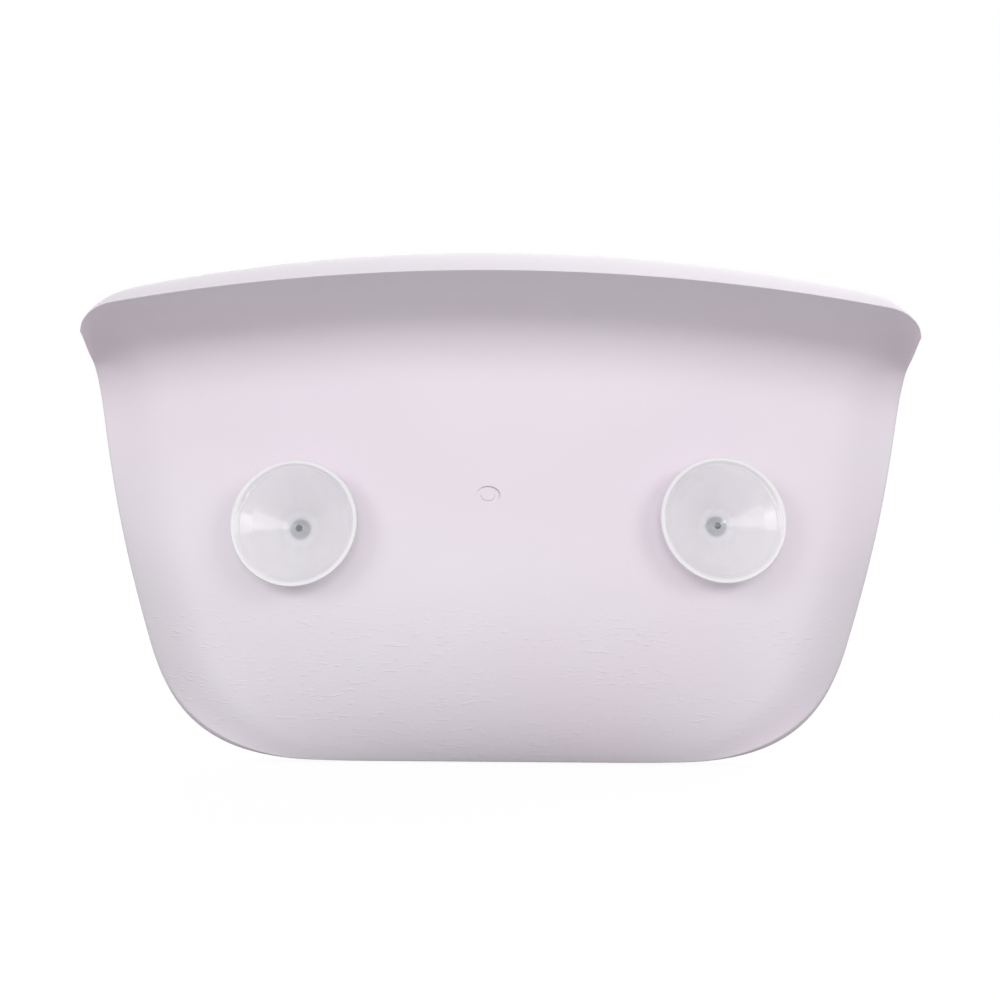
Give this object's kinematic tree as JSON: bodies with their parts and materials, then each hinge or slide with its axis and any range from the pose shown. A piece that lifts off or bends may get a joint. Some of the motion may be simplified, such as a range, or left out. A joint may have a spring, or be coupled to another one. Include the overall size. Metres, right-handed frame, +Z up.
{
  "type": "bath pillow",
  "caption": "Bath pillow: a foam headrest in a moulded skin, tapering downwards, with a hooked lip along its top and clear suction cups on its back.",
  "frame": {"origin": "on the wall that the suction cups hold to, in the middle of the pillow's width and level with the middles of the two cup rims", "axes": "+X along the width (to the right when the back is looked at), +Y away from the wall towards the bather, +Z up the height towards the lip"},
  "size_m": [0.3028, 0.078, 0.1841],
  "materials": {
    "skin": "matte moulded polyurethane skin with a fine leather-like grain",
    "foam": "open-cell cushion foam",
    "socket": "soft moulded plastic",
    "suction_cup": "clear soft vinyl, glossy"
  },
  "bodies": {
    "pillow": {"pillow_skin": "skin", "foam_core": "foam", "socket_left": "socket", "socket_right": "socket"},
    "cup_left": {"suction_cup_left": "suction_cup"},
    "cup_right": {"suction_cup_right": "suction_cup"}
  },
  "joints": [
    {"name": "cup_left_spin", "type": "hinge", "parent": "pillow", "child": "cup_left", "pos_m": [-0.0709, 0.01077, -0.00366], "axis": [-0.1519, -0.9656, 0.211], "continuous": true},
    {"name": "cup_right_spin", "type": "hinge", "parent": "pillow", "child": "cup_right", "pos_m": [0.0775, 0.01234, -0.00156], "axis": [0.1665, -0.9602, 0.2241], "continuous": true}
  ]
}
